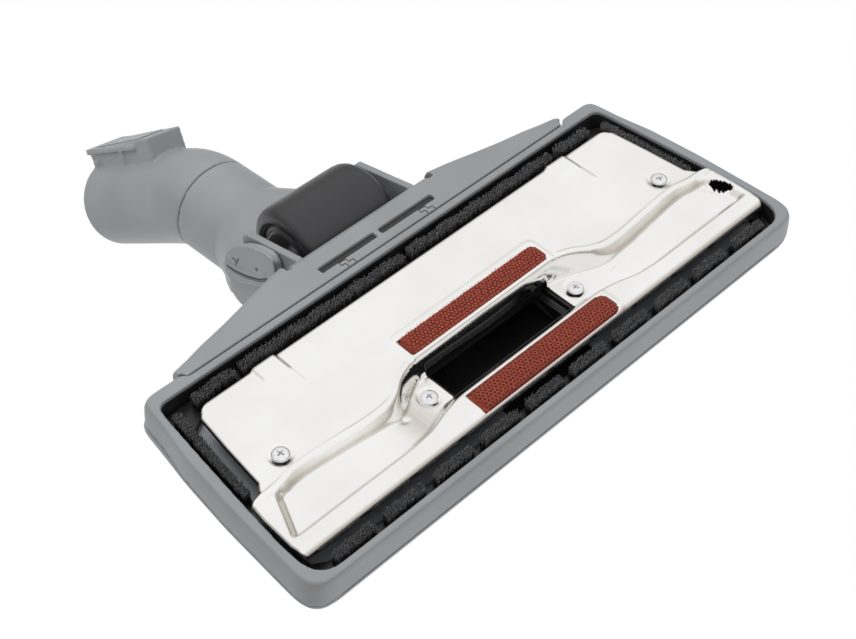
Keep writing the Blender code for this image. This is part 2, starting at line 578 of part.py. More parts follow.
# ---------------------------------------------------------------- foot pedal
PEDAL = [(-43.6, 34.2), (-42.6, 38.4), (-36, 39.4), (-29, 37.0), (-22, 39.4), (-15.4, 38.4),
         (-14.4, 34.2), (-20, 33.0), (-27, 30.4), (-31, 30.4), (-38, 33.0)]
pedal = side_prism("foot_pedal", PEDAL, -23.6, 23.6, "dark")
cut(pedal, rod("cut_pedal_bore", (-30, -29, 32.2), (30, -29, 32.2), 1.3, cutter=True, count=14))
rod("pedal_pin", (-27.4, -29, 32.2), (27.4, -29, 32.2), 1.2, "steel", 14)


# ---------------------------------------------------------------- joint axes
def pivot_at(point, *names):
    """Puts the origins of these nodes on their joint's axis; the shapes stay where they are."""
    place = (Vector(point) - Vector((0, CENTRE_Y, 0))) * MM
    for name in names:
        obj = bpy.data.objects[name]
        obj.data.transform(Matrix.Translation(-place))
        obj.location = place


pivot_at(TILT, "roller", "roller_hub", "tilt_neck", "pivot_clip_left", "pivot_clip_right",
         "swivel_bearing")
pivot_at(RING, "swivel_elbow", "latch_pin", "tube_seal")
pivot_at(KNEE + D2 * 50 + BOSS * 30.4, "latch_lever")
pivot_at((0, -29, 32.2), "foot_pedal")
pivot_at((0, -60, 13.5), "brush_frame", "rear_bristle_row", "left_bristle_row",
         "right_bristle_row", "front_bristle_tufts", "lift_yoke")
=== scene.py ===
"""Looks of a combination floor nozzle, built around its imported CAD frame.

Shapes are written in millimetres in the drawing frame of the part, where the
roller axle lies at y = 86; place() turns that into the row frame in metres.
The sole faces down (-Z), the front edge faces -Y and the neck leaves at +Y.
"""
import math
import random

import bmesh
import bpy
from mathutils import Matrix, Vector


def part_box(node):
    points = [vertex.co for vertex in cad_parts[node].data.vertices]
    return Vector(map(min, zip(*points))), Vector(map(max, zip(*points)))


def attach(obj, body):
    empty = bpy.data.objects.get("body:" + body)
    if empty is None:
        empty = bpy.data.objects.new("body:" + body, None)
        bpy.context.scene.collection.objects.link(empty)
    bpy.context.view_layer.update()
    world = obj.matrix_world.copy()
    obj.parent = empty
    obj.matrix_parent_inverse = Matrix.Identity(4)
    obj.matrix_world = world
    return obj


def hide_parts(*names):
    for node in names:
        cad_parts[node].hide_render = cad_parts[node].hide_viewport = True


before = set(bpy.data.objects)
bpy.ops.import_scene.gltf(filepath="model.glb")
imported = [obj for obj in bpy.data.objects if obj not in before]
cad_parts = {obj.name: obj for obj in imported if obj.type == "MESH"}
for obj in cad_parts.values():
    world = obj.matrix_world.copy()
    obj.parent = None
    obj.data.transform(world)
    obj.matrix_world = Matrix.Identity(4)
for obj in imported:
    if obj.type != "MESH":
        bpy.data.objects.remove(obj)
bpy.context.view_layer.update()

MM = 0.001
AXLE_Y = 86.0
axle_low, axle_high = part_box("roller_axle")
SHIFT_Y = AXLE_Y * MM - (axle_low[1] + axle_high[1]) / 2
SOLE_Z = 1.6
SHEET = 1.2
TILT = Vector((0, AXLE_Y, 28))
AXIS = (AXLE_Y, 28)                                # the axle in the (y, z) plane
AXLE_BORE = 4.12                                   # radius of the holes for the axle
ROUND_STEPS = 96                                   # points of a large round section
RING = Vector((0, 172.8, 70.5))
TO_KNEE = 12.4
NECK_RISE = math.radians(5)
BEND = math.radians(28.5)
SWIVEL = math.radians(10)
N = Vector((0, math.cos(NECK_RISE), math.sin(NECK_RISE)))
UP = Vector((0, -math.sin(NECK_RISE), math.cos(NECK_RISE)))
TURN = math.sin(SWIVEL) * Vector((1, 0, 0)) + math.cos(SWIVEL) * UP
D2 = math.cos(BEND) * N + math.sin(BEND) * TURN
BOSS = math.sin(BEND) * N - math.cos(BEND) * TURN
WIDE = D2.cross(BOSS).normalized()
KNEE = RING + N * TO_KNEE


# ------------------------------------------------------------------ camera
def add_camera(target, azimuth, elevation, distance, lens):
    """Camera on a sphere round the target, held upside down."""
    az, el = math.radians(azimuth), math.radians(elevation)
    back = Vector((math.sin(az) * math.cos(el), -math.cos(az) * math.cos(el), math.sin(el)))
    right = -Vector((math.cos(az), math.sin(az), 0))
    up = back.cross(right)
    data = bpy.data.cameras.new("camera")
    data.sensor_width = 36
    data.lens = lens
    data.clip_start = 0.01
    camera = bpy.data.objects.new("camera", data)
    bpy.context.scene.collection.objects.link(camera)
    spot = Vector(target) + back * distance
    camera.matrix_world = Matrix(((right.x, up.x, back.x, spot.x), (right.y, up.y, back.y, spot.y),
                                  (right.z, up.z, back.z, spot.z), (0, 0, 0, 1)))
    bpy.context.scene.camera = camera


add_camera((0.0204, -0.1015, 0.0037), 44.13, -47.54, 0.6541, 66.87)


# ------------------------------------------------------------------ materials
def nodes_of(name):
    """New material with its node tree and its Principled shader."""
    mat = bpy.data.materials.new(name)
    mat.use_nodes = True
    tree = mat.node_tree
    return mat, tree, tree.nodes["Principled BSDF"]


def noise_node(tree, scale, detail):
    """Noise texture laid through the piece in its own coordinates."""
    coord = tree.nodes.new("ShaderNodeTexCoord")
    tex = tree.nodes.new("ShaderNodeTexNoise")
    tex.inputs["Scale"].default_value = scale
    tex.inputs["Detail"].default_value = detail
    tree.links.new(coord.outputs["Object"], tex.inputs["Vector"])
    return tex


def mix_colours(tree, factor, low, high, start=0.35, stop=0.65):
    """Colour ramp from low to high between two values of the factor."""
    ramp = tree.nodes.new("ShaderNodeValToRGB")
    ramp.color_ramp.elements[0].position = start
    ramp.color_ramp.elements[0].color = (*low, 1)
    ramp.color_ramp.elements[1].position = stop
    ramp.color_ramp.elements[1].color = (*high, 1)
    tree.links.new(factor, ramp.inputs[0])
    return ramp.outputs[0]


def add_bump(tree, shader, height, strength, distance, before=None):
    """Bump on the shader, stacked on an earlier bump where one is given."""
    bump = tree.nodes.new("ShaderNodeBump")
    bump.inputs["Strength"].default_value = strength
    bump.inputs["Distance"].default_value = distance
    tree.links.new(height, bump.inputs["Height"])
    if before is not None:
        tree.links.new(before, bump.inputs["Normal"])
    tree.links.new(bump.outputs[0], shader.inputs["Normal"])
    return bump.outputs[0]


def vary_roughness(tree, shader, factor, low, high):
    """Roughness that follows the factor from low to high."""
    span = tree.nodes.new("ShaderNodeMapRange")
    span.inputs["To Min"].default_value = low
    span.inputs["To Max"].default_value = high
    tree.links.new(factor, span.inputs["Value"])
    tree.links.new(span.outputs[0], shader.inputs["Roughness"])


def plastic(name, colour, rough, grain=1400, depth=0.05, worn=0.12):
    """Moulded plastic: fine spark grain, faint flow marks and paler worn edges."""
    mat, tree, shader = nodes_of(name)
    flow = noise_node(tree, 22, 2)
    low = [c * 0.95 for c in colour]
    high = [min(1, c * 1.05) for c in colour]
    base = mix_colours(tree, flow.outputs[0], low, high)
    geo = tree.nodes.new("ShaderNodeNewGeometry")
    edge = tree.nodes.new("ShaderNodeMapRange")
    edge.inputs["From Min"].default_value = 0.53
    edge.inputs["From Max"].default_value = 0.62
    edge.inputs["To Max"].default_value = worn
    tree.links.new(geo.outputs["Pointiness"], edge.inputs["Value"])
    mix = tree.nodes.new("ShaderNodeMix")
    mix.data_type = 'RGBA'
    tree.links.new(edge.outputs[0], mix.inputs[0])
    tree.links.new(base, mix.inputs[6])
    mix.inputs[7].default_value = (0.62, 0.64, 0.66, 1)
    tree.links.new(mix.outputs[2], shader.inputs["Base Color"])
    fine = noise_node(tree, grain, 4)
    vary_roughness(tree, shader, fine.outputs[0], rough - 0.06, rough + 0.06)
    add_bump(tree, shader, fine.outputs[0], depth, 0.0002)
    return mat


def sheet_metal(name):
    """Bright pressed sheet: faint waviness, drawing lines and soft smudges."""
    mat, tree, shader = nodes_of(name)
    shader.inputs["Metallic"].default_value = 1.0
    smudge = noise_node(tree, 30, 4)
    base = mix_colours(tree, smudge.outputs[0], (0.9, 0.89, 0.87), (0.95, 0.945, 0.935))
    tree.links.new(base, shader.inputs["Base Color"])
    vary_roughness(tree, shader, smudge.outputs[0], 0.09, 0.2)
    wave = noise_node(tree, 14, 1)
    first = add_bump(tree, shader, wave.outputs[0], 0.25, 0.0012)
    scratch = noise_node(tree, 900, 5)
    add_bump(tree, shader, scratch.outputs[0], 0.03, 0.0001, first)
    return mat


def steel(name):
    """Zinc-bright steel of screws and pins with fine scratches."""
    mat, tree, shader = nodes_of(name)
    shader.inputs["Metallic"].default_value = 1.0
    fine = noise_node(tree, 700, 4)
    base = mix_colours(tree, fine.outputs[0], (0.78, 0.79, 0.81), (0.92, 0.93, 0.94))
    tree.links.new(base, shader.inputs["Base Color"])
    vary_roughness(tree, shader, fine.outputs[0], 0.16, 0.32)
    add_bump(tree, shader, fine.outputs[0], 0.08, 0.0001)
    return mat


def pile(name):
    """Dark red lint pile with painted shade in the hollows between the tufts, and dusty fibre tips."""
    mat, tree, shader = nodes_of(name)
    geo = tree.nodes.new("ShaderNodeNewGeometry")
    # painted shade: pointiness darkens the pile in the hollows between the tufts
    base = mix_colours(tree, geo.outputs["Pointiness"], (0.045, 0.005, 0.003), (0.36, 0.055, 0.026),
                       0.455, 0.55)
    dust = noise_node(tree, 1500, 4)
    mix = tree.nodes.new("ShaderNodeMix")
    mix.data_type = 'RGBA'
    mix.blend_type = 'MULTIPLY'
    shade = mix_colours(tree, dust.outputs[0], (0.62, 0.58, 0.55), (1, 1, 1), 0.35, 0.6)
    mix.inputs[0].default_value = 1.0
    tree.links.new(base, mix.inputs[6])
    tree.links.new(shade, mix.inputs[7])
    tree.links.new(mix.outputs[2], shader.inputs["Base Color"])
    shader.inputs["Sheen Weight"].default_value = 0.08
    shader.inputs["Specular IOR Level"].default_value = 0.3
    vary_roughness(tree, shader, dust.outputs[0], 0.5, 0.75)
    add_bump(tree, shader, dust.outputs[0], 0.4, 0.0002)
    return mat


def filament(name):
    """Charcoal bristle filament, speckled lighter from strand to strand: partly tone, partly painted
    highlights.
    """
    mat, tree, shader = nodes_of(name)
    fine = noise_node(tree, 1600, 3)
    # partly painted highlights: the pale grey speckles stand for light caught on the strands
    base = mix_colours(tree, fine.outputs[0], (0.01, 0.01, 0.011), (0.17, 0.172, 0.18), 0.42, 0.68)
    tree.links.new(base, shader.inputs["Base Color"])
    vary_roughness(tree, shader, fine.outputs[0], 0.4, 0.65)
    return mat


BODY = plastic("body_plastic", (0.2, 0.212, 0.224), 0.42)
NECK = plastic("neck_plastic", (0.215, 0.225, 0.236), 0.4, 1100, 0.04)
CLIP = plastic("clip_plastic", (0.2, 0.212, 0.23), 0.38, 1400, 0.05, 0.2)
ROLLER = plastic("roller_plastic", (0.02, 0.02, 0.023), 0.34, 1000, 0.06, 0.03)
DARK = plastic("dark_plastic", (0.005, 0.005, 0.0055), 0.3, 1200, 0.06, 0.02)
PEDAL = plastic("pedal_plastic", (0.055, 0.056, 0.06), 0.45, 900, 0.15, 0.05)
SOLE = sheet_metal("sole_metal")
STEEL = steel("screw_steel")
PILE = pile("lint_pile")
BRISTLE = filament("bristle_filament")


# ------------------------------------------------------------------ mesh helpers
def place(point):
    """Drawing frame in millimetres to row frame in metres."""
    x, y, z = point
    return Vector((x * MM, y * MM - SHIFT_Y, z * MM))


def add_mesh(name, verts, faces, mat=None):
    """Object from points in the drawing frame, with its normals facing outwards."""
    mesh = bpy.data.meshes.new(name)
    mesh.from_pydata([place(v) for v in verts], [], faces)
    work = bmesh.new()
    work.from_mesh(mesh)
    bmesh.ops.recalc_face_normals(work, faces=work.faces)
    work.to_mesh(mesh)
    work.free()
    obj = bpy.data.objects.new(name, mesh)
    bpy.context.scene.collection.objects.link(obj)
    return finish_piece(obj, mat)


def finish_piece(obj, mat, smooth=True):
    """Gives the object one material and smooth or flat faces."""
    if mat is not None:
        obj.data.materials.clear()
        obj.data.materials.append(mat)
    for face in obj.data.polygons:
        face.use_smooth = smooth
    return obj


def bake(obj):
    """Applies every modifier of the object."""
    graph = bpy.context.evaluated_depsgraph_get()
    mesh = bpy.data.meshes.new_from_object(obj.evaluated_get(graph))
    obj.modifiers.clear()
    obj.data = mesh
    return obj


def combine(obj, tools, mode):
    """Unites the object with the tools or cuts it by them, and removes the tools."""
    for tool in tools:
        mod = obj.modifiers.new(mode.lower(), 'BOOLEAN')
        mod.operation = mode
        mod.solver = 'EXACT'
        mod.object = tool
    bake(obj)
    for tool in tools:
        bpy.data.objects.remove(tool, do_unlink=True)
    return obj


def cut(obj, *tools):
    return combine(obj, tools, 'DIFFERENCE')


def fuse(obj, *tools):
    return combine(obj, tools, 'UNION')


def moulded(obj, mat, voxel=0.7, rounds=8, keep=0.5):
    """Melts the edges of a built-up shape as moulding does, with an even fine mesh."""
    mod = obj.modifiers.new("remesh", 'REMESH')
    mod.mode = 'VOXEL'
    mod.voxel_size = voxel * MM
    mod = obj.modifiers.new("soften", 'SMOOTH')
    mod.factor = 0.5
    mod.iterations = rounds
    mod = obj.modifiers.new("thin", 'DECIMATE')
    mod.ratio = keep
    bake(obj)
    return finish_piece(obj, mat)


def loft(name, sections, mat=None):
    """Closed solid through sections that have the same number of points."""
    n = len(sections[0])
    verts = [p for sec in sections for p in sec]
    faces = [list(range(n))[::-1]]
    for k in range(len(sections) - 1):
        a, b = k * n, (k + 1) * n
        faces += [[a + i, a + (i + 1) % n, b + (i + 1) % n, b + i] for i in range(n)]
    last = (len(sections) - 1) * n
    faces.append([last + i for i in range(n)])
    return add_mesh(name, verts, faces, mat)


def pipe(name, outer, inner, mat=None):
    """Open-ended hollow skin between matching outer and inner sections."""
    n, m = len(outer[0]), len(outer)
    verts = [p for sec in outer for p in sec] + [p for sec in inner for p in sec]
    off = n * m
    faces = []
    for k in range(m - 1):
        for i in range(n):
            j = (i + 1) % n
            a, b = k * n, (k + 1) * n
            faces.append([a + i, a + j, b + j, b + i])
            faces.append([off + b + i, off + b + j, off + a + j, off + a + i])
    end = (m - 1) * n
    for i in range(n):
        j = (i + 1) % n
        faces.append([off + i, off + j, j, i])
        faces.append([end + i, end + j, off + end + j, off + end + i])
    return add_mesh(name, verts, faces, mat)


def prism(name, outline, low, high):
    """Solid of an (x, y) outline from one height to another."""
    return loft(name, [[(x, y, low) for x, y in outline], [(x, y, high) for x, y in outline]])


def side_prism(name, outline, left, right):
    """Solid of a (y, z) outline from one x to another."""
    return loft(name, [[(left, y, z) for y, z in outline], [(right, y, z) for y, z in outline]])


def block(name, x, y, z):
    """Cutter or boss with straight sides from three (low, high) spans."""
    return prism(name, [(x[0], y[0]), (x[1], y[0]), (x[1], y[1]), (x[0], y[1])], z[0], z[1])


def circle(centre, radius, axis, count=ROUND_STEPS):
    """Ring of points round an axis."""
    axis = Vector(axis).normalized()
    side = axis.cross(Vector((0, 0, 1)))
    side = Vector((1, 0, 0)) if side.length < 0.01 else side.normalized()
    up = side.cross(axis).normalized()
    return [Vector(centre) + radius * (math.cos(t) * side + math.sin(t) * up)
            for t in (2 * math.pi * i / count for i in range(count))]


def rod(name, start, end, radius, mat=None, count=64):
    """Round solid between two points."""
    axis = Vector(end) - Vector(start)
    return loft(name, [circle(start, radius, axis, count), circle(end, radius, axis, count)], mat)


def turned(name, start, axis, profile, mat, count):
    """Solid of revolution from a profile of (distance along the axis, radius)."""
    axis = Vector(axis).normalized()
    return loft(name, [circle(Vector(start) + axis * d, r, axis, count) for d, r in profile], mat)


def mirror_outline(half):
    """Whole outline from its +X half."""
    return half + [(-x, y) for x, y in reversed(half) if x > 0]


def rounded(outline, reach=3.5):
    """Replaces each corner by a short curve that starts at most reach away from it."""
    steps = 4
    out = []
    for k, corner in enumerate(outline):
        ends = []
        for other in (outline[k - 1], outline[(k + 1) % len(outline)]):
            span = math.dist(corner, other)
            t = min(reach, span * 0.45) / span if span > 0 else 0
            ends.append([c + (o - c) * t for c, o in zip(corner, other)])
        for i in range(steps + 1):
            t = i / steps
            out.append(tuple(a * (1 - t) ** 2 + c * 2 * t * (1 - t) + b * t * t
                             for a, c, b in zip(ends[0], corner, ends[1])))
    return out


def softened(outline, passes=2, ratio=0.25):
    """Corner cutting of a closed outline."""
    for _ in range(passes):
        out = []
        for (x0, y0), (x1, y1) in zip(outline, outline[1:] + outline[:1]):
            out.append((x0 + (x1 - x0) * ratio, y0 + (y1 - y0) * ratio))
            out.append((x1 + (x0 - x1) * ratio, y1 + (y0 - y1) * ratio))
        outline = out
    return outline


def arc(centre, radius, start, end, steps):
    """Points of an arc between two angles in degrees."""
    cy, cz = centre
    angles = [math.radians(start + (end - start) * i / steps) for i in range(steps + 1)]
    return [(cy + radius * math.cos(a), cz + radius * math.sin(a)) for a in angles]


def band(line, low, high):
    """Closed outline of a band that runs beside a line of points, low to high across it."""
    sides = []
    for push in (low, high):
        row = []
        for k, (y, z) in enumerate(line):
            y0, z0 = line[max(0, k - 1)]
            y1, z1 = line[min(len(line) - 1, k + 1)]
            size = math.hypot(y1 - y0, z1 - z0)
            row.append((y - (z1 - z0) / size * push, z + (y1 - y0) / size * push))
        sides.append(row)
    return sides[0] + sides[1][::-1]


def read(table, at):
    """Value of a table of (place, value) rows, straight between the rows."""
    if at <= table[0][0]:
        return table[0][1]
    for (p0, v0), (p1, v1) in zip(table, table[1:]):
        if at <= p1:
            return v0 + (v1 - v0) * (at - p0) / (p1 - p0)
    return table[-1][1]


def read_smooth(table, at, reach=3.0):
    """Mean of seven readings spread over the reach to both sides."""
    return sum(read(table, max(0, at + reach * k / 3)) for k in range(-3, 4)) / 7


def ease(t):
    """Smooth step from 0 to 1."""
    t = min(1.0, max(0.0, t))
    return t * t * (3 - 2 * t)


# ------------------------------------------------------------------ body shell
RIM_OUT = [(60, 44.4), (110.5, 44.4), (111.5, 47.0), (128, 47.2), (131.3, 45), (133.2, 29.5),
           (136.3, 13.8), (138.8, -13.8), (140.2, -48), (140.6, -57), (139.4, -62.4),
           (136, -65.6), (131, -66.6), (60, -66.6)]
RIM_IN = [(60, 41), (126, 41), (128.6, 39.4), (129.6, 34.5), (131.8, 12), (134.2, -15),
          (136.2, -42), (136.2, -53.5), (134.6, -59), (131, -62.4), (126, -63.5), (60, -63.5)]
DECK_LOW, DECK_TOP = 15.6, 17.2


def grown(outline, side, rear, front):
    """Half outline of the body moved outwards by an amount on each side."""
    return [(x + side if x > 100 else x,
             y + rear if y > 20 else (y - front if y < -55 else y)) for x, y in outline]


shell_levels = [(3.6, -0.4, 0.0, -0.2), (4.4, 0.3, 0.3, 0.1), (6.5, 1.0, 0.8, 0.4),
                (11.0, 1.6, 0.8, 0.4), (DECK_TOP, 1.9, 0.8, 0.4)]
shell = loft("body_shell", [[(x, y, z) for x, y in rounded(mirror_outline(grown(RIM_OUT, s, r, f)))]
                            for z, s, r, f in shell_levels])
cut(shell, prism("shell_inside", rounded(mirror_outline(RIM_IN)), 0, DECK_LOW),
    block("shell_mouth", (-36.4, 36.4), (-31.9, -12.3), (10, 20)),
    block("shell_link", (-25.4, 25.4), (-61.4, -38.6), (10, 20)))
moulded(shell, BODY, 0.65, 4, 0.4)
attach(shell, "base")
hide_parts("chassis")

# ------------------------------------------------------------------ rear carriage
WING = [(112.2, 48.4), (112.2, 53.6), (104, 55.2), (95, 57.4), (81, 60.0), (68, 63.0), (54, 66.4),
        (42.5, 68.6)]
rear_half = [(0, 45.6), (110, 45.6), (111.0, 48.4)] + WING + [(42.5, 66.2), (0, 66.2)]
carriage = loft("rear_carriage_shell",
                [[(x, y if y < 50 else y - drop, z) for x, y in mirror_outline(rear_half)]
                 for z, drop in ((4.4, 4), (6.2, 1.5), (9.5, 0), (17.2, 0))])
CHEEK = [(58, 6.4), (68, 8), (78, 10.6), (92, 14), (102, 16.5), (104.6, 20), (105, 40), (60, 40)]
fuse(carriage, side_prism("cheek_a", CHEEK, 31.4, 34.8), side_prism("cheek_b", CHEEK, -34.8, -31.4))
cut(carriage,
    block("inside", (-28, 28), (48, 64), (11, 30)),
    block("wing_a", (-109, -42), (48.5, 56), (8.5, 30)),
    block("wing_b", (42, 109), (48.5, 56), (8.5, 30)),
    block("slot_a", (-33.4, -1.4), (50.6, 54.3), (0, 30)),
    block("slot_b", (1.4, 33.4), (50.6, 54.3), (0, 30)),
    rod("bay", (-31.2, *AXIS), (31.2, *AXIS), 26.2, None, ROUND_STEPS),
    rod("axle_hole", (-45, *AXIS), (45, *AXIS), AXLE_BORE, None, 48),
    block("gap_a", (-43.2, -40.1), (62, 80), (0, 30)),
    block("gap_b", (40.1, 43.2), (62, 80), (0, 30)))
moulded(carriage, BODY, 0.5, 3, 0.4)
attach(carriage, "base")
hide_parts("rear_carriage")

# painted shade: dark outlines of the two snap tongues stand for the shadow in their gaps
SNAP = [(-3.6, 46.0), (-3.6, 48.0), (-1.2, 48.0), (-1.2, 50.2),
        (2.6, 50.2), (2.6, 48.2), (0.6, 48.2), (0.6, 46.0)]
for number, middle_x in enumerate((-25.0, 22.0)):
    snap = prism("snap_gap_shade_%d" % number, band([(middle_x + x, y) for x, y in SNAP], -0.22, 0.22),
                 4.25, 4.9)
    finish_piece(snap, DARK, False)
    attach(snap, "base")
for side, s in (("left", -1), ("right", 1)):        # painted shade: dark pieces in the slots stand for the shadow inside them
    slot_outline = [(s * 1.7, 50.9), (s * 33.1, 50.9), (s * 33.1, 54.0), (s * 1.7, 54.0)]
    deep = prism("slot_shade_" + side, rounded(slot_outline, 0.8), 5.8, 6.6)
    finish_piece(deep, DARK, False)
    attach(deep, "base")

# ------------------------------------------------------------------ upper cover
COVER = [(60, 46.4), (112.7, 46.4), (112.7, 54.5), (114.2, 54.2), (129, 51.2), (134.3, 46),
         (136.4, 29.5), (138.6, 13.8), (140.9, -13.8), (142.3, -48), (142.5, -57), (141.2, -62.8),
         (137.6, -66.2), (132, -67.2), (60, -67.2)]


COVER_SIDE, COVER_REAR, COVER_FRONT = 142.5, 54.4, 67.2


def inset(outline, side, rear, front):
    """Outline of the cover shrunk by an amount on each side."""
    return [(x * (COVER_SIDE - side) / COVER_SIDE,
             y * (COVER_REAR - rear) / COVER_REAR if y > 0
             else y * (COVER_FRONT - front) / COVER_FRONT) for x, y in outline]


def stack(name, levels):
    """Solid of the cover's outline at levels of (z, side, rear and front inset)."""
    return loft(name, [[(x, y, z) for x, y in rounded(mirror_outline(inset(COVER, s, r, f)))]
                       for z, s, r, f in levels])


cover = stack("upper_cover_shell", [(17.5, 0, 0, 0), (20, 0.6, 0.3, 0.6), (22, 1.8, 0.8, 2.0),
                                    (23.6, 3.6, 1.6, 4.2), (24.8, 6.6, 3.0, 8.0),
                                    (25.6, 10, 4.5, 12), (26.6, 22, 9, 24)])
DECK = [(0, 40), (112.6, 40), (112.6, 53.8), (104, 55.4), (95, 57.6), (81, 60.2), (68, 63.2),
        (54, 66.6), (42.5, 68.8), (42.5, 62), (0, 62)]
HOOD = [(-54, 22), (-51, 29), (-46, 33.4), (-10, 35.6), (6, 39), (18, 44), (30, 51), (42, 59),
        (52, 65.6), (56.6, 68.2), (58.7, 67.2)] + arc(AXIS, 47.2, 127, 182, 24) + [(38.8, 19)]
INNER = [(-51, 16), (-51, 22), (-48.4, 27.6), (-44.6, 31), (-10, 33.2), (6, 36.6), (19, 42),
         (31, 49), (43, 57), (51, 62), (60, 60), (86, 40), (86, 16)]
fuse(cover, loft("rear_deck", [[(x * k, y - d if y > 45 else y, z) for x, y in mirror_outline(DECK)]
                               for z, d, k in ((17.5, 0, 1), (20, 0.8, 1), (25.4, 4, 0.985))]),
     side_prism("hood", HOOD, -38, 38))
cut(cover, stack("inside", [(10, 2.2, 2.2, 2.2), (20, 3.2, 2.6, 3.2), (23.4, 12, 5.5, 13.5),
                            (24.4, 24, 10, 26)]),
    prism("rear_inside", mirror_outline([(0, 38), (110, 38), (110, 51.6), (95, 55), (68, 60.4),
                                         (44.8, 64.6), (44.8, 60), (0, 60)]), 10, 22.8),
    side_prism("hood_inside", INNER, -34.4, 34.4),
    block("cheek_space", (-40.2, 40.2), (57, 120), (10, 41)),
    block("pedal_window", (-24.4, 24.4), (-44.4, -13.6), (30, 50)))
fuse(cover, block("lug_a", (-27.8, -24.6), (-33, -25), (28.8, 34)),
     block("lug_b", (24.6, 27.8), (-33, -25), (28.8, 34)))
moulded(cover, BODY, 0.7, 6, 0.4)
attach(cover, "base")
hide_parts("upper_cover")

# ------------------------------------------------------------------ sole plate
CHANNEL_REAR = [(0, -12.9), (40.8, -12.9), (50, -15.5), (57, -20.7), (64, -23.2),
                (74, -23.4), (88, -22.2), (103, -21.2), (112, -21.0), (119, -22.6), (140, -24)]
CHANNEL_FRONT = [(0, -39.6), (42, -39.6), (50, -41), (61, -44.3), (73, -45.2), (140, -45.2)]
DEPTH = [(0, 12.0), (47, 12.0), (53, 10.0), (60, 7.0), (68, 5.4), (90, 4.6), (140, 4.2)]
REAR_SLOPE = [(0, 1.8), (40.8, 2.4), (50, 4.6), (60, 5.4), (90, 5), (112, 4), (140, 3.4)]
FRONT_SLOPE = [(0, 8.3), (40.8, 8.3), (57, 5), (73, 3), (140, 2.4)]
EDGE_X = [(-53.6, 132.4), (-51.5, 134.2), (-46, 135.0), (-30, 134.6), (-22.4, 133.8),
          (-20.6, 128.4), (-16, 125.2), (5, 123.3), (23, 121.2), (26.5, 118.6), (28.3, 113.6)]
SCREWS = [("outer_left", -110.6, -12.6, SOLE_Z), ("outer_right", 110.6, -12.6, SOLE_Z),
          ("inner_left", -43.6, -24.6, SOLE_Z + 12.0), ("inner_right", 43.6, -24.6, SOLE_Z + 12.0)]
STRIPS = (("rear", -11.5, -0.8), ("front", -51.6, -41.1))
STRIP_X = 39.2                                     # half the length of a strip
STRIP_HALF = 6.2                                   # half its width with the pile's overhang
STRIP_ROUND, STRIP_END = 35.0, 41.4                # where the rounded end starts and stops
SHEET_FRONT, SHEET_REAR = -53.6, 28.3
MOUTH_X, MOUTH_FRONT, MOUTH_REAR = 35.8, -31.3, -14.5
TONGUE_X = 85.5
FIXED_X, WIDE_X = 60.0, 136.0                      # grid lines spread to the edge between these


def strip_reach(x, y, y0, y1):
    """0 on the middle line of a strip, 1 on its outline; the -X end is rounded."""
    across = abs(y - (y0 + y1) / 2) / STRIP_HALF
    along = max(0.0, (-x - STRIP_ROUND) / (STRIP_END - STRIP_ROUND))
    return (across ** 3 + along ** 3) ** (1 / 3)


def end_wall(x, y):
    """Where the channel closes, as a distance from the middle plane."""
    start = 123.0 if x > 0 else 126.0
    return min(132.0, start + 0.42 * max(0.0, -22 - y))


def rolled(gap, radius):
    """Height of a rolled edge at a distance from the sheet's end."""
    if gap >= radius:
        return 0.0
    return radius - math.sqrt(max(0.0, radius ** 2 - (radius - gap) ** 2))


def sole_lift(x, y, edge):
    """Height of the sheet's lower face above the sole plane; edge is its side edge there."""
    ax = abs(x)
    rear = read_smooth(CHANNEL_REAR, ax)
    front = read_smooth(CHANNEL_FRONT, ax)
    deep = read_smooth(DEPTH, ax, 9.0) * min(1.0, max(0.0, (end_wall(x, y) - ax) / 3.4))
    t_rear = (rear - y) / read_smooth(REAR_SLOPE, ax)
    t_front = (y - front) / read_smooth(FRONT_SLOPE, ax)
    wall = min(1.0, max(0.0, t_rear)) * 0.6 + ease(t_rear) * 0.4
    foot = min(1.0, max(0.0, t_front)) * 0.5 + ease(t_front) * 0.5
    lift = deep * min(wall, foot)
    if ax > 44:                                     # raised beads beside the step
        lift -= 0.35 * math.exp(-((y - rear - 1.3) / 0.8) ** 2)
        lift -= 0.3 * math.exp(-((t_rear - 0.55) / 0.12) ** 2) * min(1, (ax - 44) / 10)
    for _, y0, y1 in STRIPS:                        # lip round each strip
        d = math.hypot(max(0, ax - STRIP_X), max(0, y0 - y, y - y1))
        if lift < 1.0:
            lift -= 0.3 * ease((2.6 - abs(d - 1.4)) / 2.2) * (1 - min(1, max(0, lift)))
    across = abs(ax - TONGUE_X)                         # tongue pressed out beside the rear edge
    lift -= 1.3 * ease((6.6 - across) / 1.8) * ease((y - 16.0) / 4.0)
    lift -= 0.3 * ease((7.2 - across) / 1.4) * ease((y - 7.0) / 1.6)
    lift += 0.7 * math.exp(-((ax - 61.3) / 1.7) ** 2 - ((y + 29.3) / 1.0) ** 2)
    for _, sx, sy, _ in SCREWS:
        lift += 0.55 * ease((5.6 - math.hypot(x - sx, y - sy)) / 1.0)
    return lift + max(rolled(edge - ax, 2.0), rolled(SHEET_REAR - y, 2.0),
                      rolled(y - SHEET_FRONT, 5.0))


def marks(stops, step):
    """Grid places from stop to stop, about one step apart."""
    out = [stops[0]]
    for a, b in zip(stops, stops[1:]):
        n = max(1, round((b - a) / step))
        out += [a + (b - a) * (i + 1) / n for i in range(n)]
    return out


def real_x(u, y):
    """Real x of a grid line: beyond FIXED_X the lines spread to the sheet's edge."""
    if abs(u) <= FIXED_X:
        return u
    part = (abs(u) - FIXED_X) / (WIDE_X - FIXED_X)
    return math.copysign(FIXED_X + part * (read(EDGE_X, y) - FIXED_X), u)


